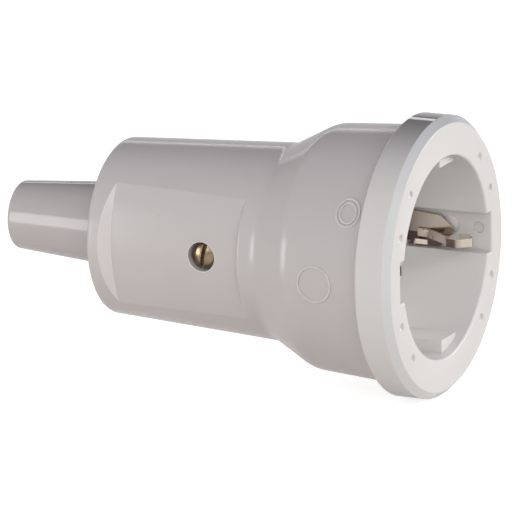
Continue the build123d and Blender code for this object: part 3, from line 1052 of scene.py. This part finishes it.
tarnished, tree, place = start_material("tarnished_turned_brass")
clouds = add_node(
    tree,
    "ShaderNodeTexNoise",
    {"Scale": 1 / head_tarnish_size, "Detail": head_tarnish_octaves},
    {"Vector": place},
)
corners = add_node(
    tree, "ShaderNodeAmbientOcclusion", {"Distance": head_grime_reach}, samples=edge_samples
)
open_share = add_node(
    tree,
    "ShaderNodeMath",
    links={0: clouds.outputs["Fac"], 1: corners.outputs["AO"]},
    operation="MULTIPLY",
)
tint = add_node(
    tree,
    "ShaderNodeMix",
    {6: head_tarnish_colour, 7: head_colour},
    {0: open_share.outputs[0]},
    data_type="RGBA",
)
centred = add_node(
    tree,
    "ShaderNodeMapping",
    {"Location": (-screw_centre.x, 0.0, -screw_centre.z)},
    {"Vector": place},
)
rings = add_node(
    tree,
    "ShaderNodeTexWave",
    {"Scale": wave_repeat / head_ring_spacing, "Distortion": head_ring_wander},
    {"Vector": centred.outputs["Vector"]},
    wave_type="RINGS",
    rings_direction="Y",
)
gloss = add_node(
    tree,
    "ShaderNodeMapRange",
    {"To Min": head_roughness[0], "To Max": head_roughness[1]},
    {"Value": rings.outputs["Fac"]},
)
rounded = add_node(tree, "ShaderNodeBevel", {"Radius": head_edge}, samples=edge_samples)
surface = add_node(
    tree,
    "ShaderNodeBsdfPrincipled",
    {"Metallic": 1.0},
    {
        "Base Color": tint.outputs[2],
        "Roughness": gloss.outputs["Result"],
        "Normal": rounded.outputs["Normal"],
    },
)
add_node(tree, "ShaderNodeOutputMaterial", links={"Surface": surface.outputs["BSDF"]})
nodes["housing_screw"].material_slots[0].material = tarnished


# Floor: a wide sheet of matt white paper under the coupler, level with the flange's lowest point.
# Its far edge is turned up, so that no view looks past it.
# Seen directly or in a reflection it is lifted to white, and it keeps the object's soft shadow.
floor_radius = 3.7
floor_edge_radius = 4.0
floor_edge_rise = 0.3
floor_corners = 64
floor_height = cad_box[0][2]
top_facing = 0.9
paper_colour = linear("#f0e8e1")
paper_seen_colour = linear("#bcbcbc")
paper_lift = 0.82
paper_mirror_share = 0.45

bpy.ops.mesh.primitive_cone_add(
    vertices=floor_corners,
    radius1=floor_radius,
    radius2=floor_edge_radius,
    depth=floor_edge_rise,
    location=(0.0, 0.0, floor_height + floor_edge_rise / 2),
)
floor = bpy.context.object
floor.name = "paper_floor"
bpy.ops.object.transform_apply(location=True)
bpy.ops.object.mode_set(mode="EDIT")
bpy.ops.mesh.select_mode(type="FACE")
bpy.ops.mesh.select_all(action="DESELECT")
bpy.ops.object.mode_set(mode="OBJECT")
for face in floor.data.polygons:
    face.select = face.normal.z > top_facing
bpy.ops.object.mode_set(mode="EDIT")
bpy.ops.mesh.delete(type="FACE")
bpy.ops.mesh.select_all(action="SELECT")
bpy.ops.mesh.flip_normals()
bpy.ops.object.mode_set(mode="OBJECT")
paper, tree, _ = start_material("matt_white_paper")
path = add_node(tree, "ShaderNodeLightPath")
mirrored = add_node(
    tree,
    "ShaderNodeMath",
    {1: paper_mirror_share},
    {0: path.outputs["Is Glossy Ray"], 2: path.outputs["Is Camera Ray"]},
    operation="MULTIPLY_ADD",
)
seen = add_node(
    tree,
    "ShaderNodeMath",
    links={0: mirrored.outputs[0], 1: path.outputs["Is Transmission Ray"]},
    operation="ADD",
    use_clamp=True,
)
lit = add_node(tree, "ShaderNodeBsdfDiffuse", {"Color": paper_colour})
shade = add_node(tree, "ShaderNodeBsdfDiffuse", {"Color": paper_seen_colour})
lift = add_node(tree, "ShaderNodeEmission", {"Strength": paper_lift})
lifted = add_node(
    tree, "ShaderNodeAddShader", links={0: shade.outputs["BSDF"], 1: lift.outputs["Emission"]}
)
sheet = add_node(
    tree,
    "ShaderNodeMixShader",
    links={0: seen.outputs[0], 1: lit.outputs["BSDF"], 2: lifted.outputs["Shader"]},
)
add_node(tree, "ShaderNodeOutputMaterial", links={"Surface": sheet.outputs["Shader"]})
floor.data.materials.append(paper)


# Room light: a studio with pale walls under a darker, cooler ceiling.
# Its back wall is unlit above the floor, so the coupler's upper sides darken towards their edge,
# and the ceiling turns them a little grey and violet.
wall_colour = linear("#ffffff")
ceiling_colour = linear("#c6c1ca")
unlit_colour = linear("#3c3a3e")
wall_top = 0.1
ceiling_start = 0.9
unlit_rise = (0.2, 0.26)
unlit_depth = (0.1, 0.6)
room_light = 0.625

world = bpy.data.worlds.new("pale_studio")
world.use_nodes = True
world.node_tree.nodes.clear()
tree = world.node_tree
direction = add_node(tree, "ShaderNodeTexCoord").outputs["Generated"]
axes = add_node(tree, "ShaderNodeSeparateXYZ", links={"Vector": direction})
rise = add_node(
    tree,
    "ShaderNodeMapRange",
    {"From Min": wall_top, "From Max": ceiling_start},
    {"Value": axes.outputs["Z"]},
    interpolation_type="SMOOTHSTEP",
)
room = add_node(
    tree,
    "ShaderNodeMix",
    {6: wall_colour, 7: ceiling_colour},
    {0: rise.outputs["Result"]},
    data_type="RGBA",
)
above = add_node(
    tree,
    "ShaderNodeMapRange",
    {"From Min": unlit_rise[0], "From Max": unlit_rise[1]},
    {"Value": axes.outputs["Z"]},
)
behind = add_node(
    tree,
    "ShaderNodeMapRange",
    {"From Min": unlit_depth[0], "From Max": unlit_depth[1]},
    {"Value": axes.outputs["Y"]},
)
unlit = add_node(
    tree,
    "ShaderNodeMath",
    links={0: above.outputs["Result"], 1: behind.outputs["Result"]},
    operation="MULTIPLY",
)
studio = add_node(
    tree,
    "ShaderNodeMix",
    {7: unlit_colour},
    {0: unlit.outputs[0], 6: room.outputs[2]},
    data_type="RGBA",
)
sky = add_node(
    tree, "ShaderNodeBackground", {"Strength": room_light}, {"Color": studio.outputs[2]}
)
add_node(tree, "ShaderNodeOutputWorld", links={"Surface": sky.outputs["Background"]})
bpy.context.scene.world = world


# Lamps: a broad soft box in front lights grip and cavity, one at the far right lights the face, and
# a narrow one behind draws the streak on the flange's top. A snooted lamp reaches into the cavity,
# and a low light strip at the left draws the streaks on the boot and on the shoulder's two bends.
light_centre = Vector((-0.04, 0.0, 0.0))
cavity_centre = Vector((-0.008, 0.0, -0.0055))
box_turn = 25.0
box_rise = 27.0
box_distance = 1.2
box_size = (1.8, 0.8)
box_power = 7.1
fill_turn = 131.0
fill_rise = 12.0
fill_distance = 1.2
fill_size = (0.8, 0.8)
fill_power = 9.9
rim_turn = 205.0
rim_rise = 21.0
rim_distance = 1.3
rim_size = (1.2, 0.11)
rim_power = 1.0
snoot_turn = 70.0
snoot_rise = 30.0
snoot_distance = 0.5
snoot_angle = 4.2
snoot_blend = 1.0
snoot_radius = 0.01
snoot_power = 4.2
strip_low = Vector((-0.1525, -0.139, floor_height))
strip_turn = -58.0
strip_length = 0.058
strip_tall = 0.067
strip_power = 0.05

for name, turn, rise, distance, size, power in (
    ("front_box", box_turn, box_rise, box_distance, box_size, box_power),
    ("face_box", fill_turn, fill_rise, fill_distance, fill_size, fill_power),
    ("rim_box", rim_turn, rim_rise, rim_distance, rim_size, rim_power),
):
    aim = Matrix.Rotation(radians(turn), 4, "Z") @ Matrix.Rotation(pi / 2 - radians(rise), 4, "X")
    place = light_centre + distance * (aim.to_3x3() @ Vector((0.0, 0.0, 1.0)))
    bpy.ops.object.light_add(type="AREA", location=place, rotation=aim.to_euler())
    soft_box = bpy.context.object
    soft_box.name = name
    soft_box.data.shape = "RECTANGLE"
    soft_box.data.size, soft_box.data.size_y = size
    soft_box.data.energy = power
    soft_box.visible_camera = False

aim = (
    Matrix.Rotation(radians(snoot_turn), 4, "Z")
    @ Matrix.Rotation(pi / 2 - radians(snoot_rise), 4, "X")
)
place = cavity_centre + snoot_distance * (aim.to_3x3() @ Vector((0.0, 0.0, 1.0)))
bpy.ops.object.light_add(type="SPOT", location=place, rotation=aim.to_euler())
snoot = bpy.context.object
snoot.name = "snoot"
snoot.data.energy = snoot_power
snoot.data.spot_size = radians(snoot_angle)
snoot.data.spot_blend = snoot_blend
snoot.data.shadow_soft_size = snoot_radius
snoot.visible_camera = False

aim = Matrix.Rotation(radians(strip_turn), 4, "Z") @ Matrix.Rotation(pi / 2, 4, "X")
along = aim.to_3x3() @ Vector((-1.0, 0.0, 0.0))
place = strip_low + along * strip_length / 2 + Vector((0.0, 0.0, strip_tall / 2))
bpy.ops.object.light_add(type="AREA", location=place, rotation=aim.to_euler())
strip = bpy.context.object
strip.name = "light_strip"
strip.data.shape = "RECTANGLE"
strip.data.size = strip_length
strip.data.size_y = strip_tall
strip.data.energy = strip_power
strip.visible_camera = False


# Camera: the photograph's viewpoint, to the right of the screw's side and a little above.
# It stands well back with a long lens, so the coupler is drawn with little perspective.
view_turn = 25.54
view_rise = 14.72
view_roll = -0.99
view_distance = 1.6612
view_centre = Vector((-0.04015, 0.0, -0.00388))
view_lens = 599.8
view_end = 20.0

aim = (
    Matrix.Rotation(radians(view_turn), 4, "Z")
    @ Matrix.Rotation(pi / 2 - radians(view_rise), 4, "X")
    @ Matrix.Rotation(radians(view_roll), 4, "Z")
)
place = view_centre + view_distance * (aim.to_3x3() @ Vector((0.0, 0.0, 1.0)))
bpy.ops.object.camera_add(location=place, rotation=aim.to_euler())
camera = bpy.context.object
camera.name = "photo_camera"
camera.data.lens = view_lens
camera.data.clip_end = view_end
bpy.context.scene.camera = camera
bpy.context.scene.view_settings.view_transform = "Standard"
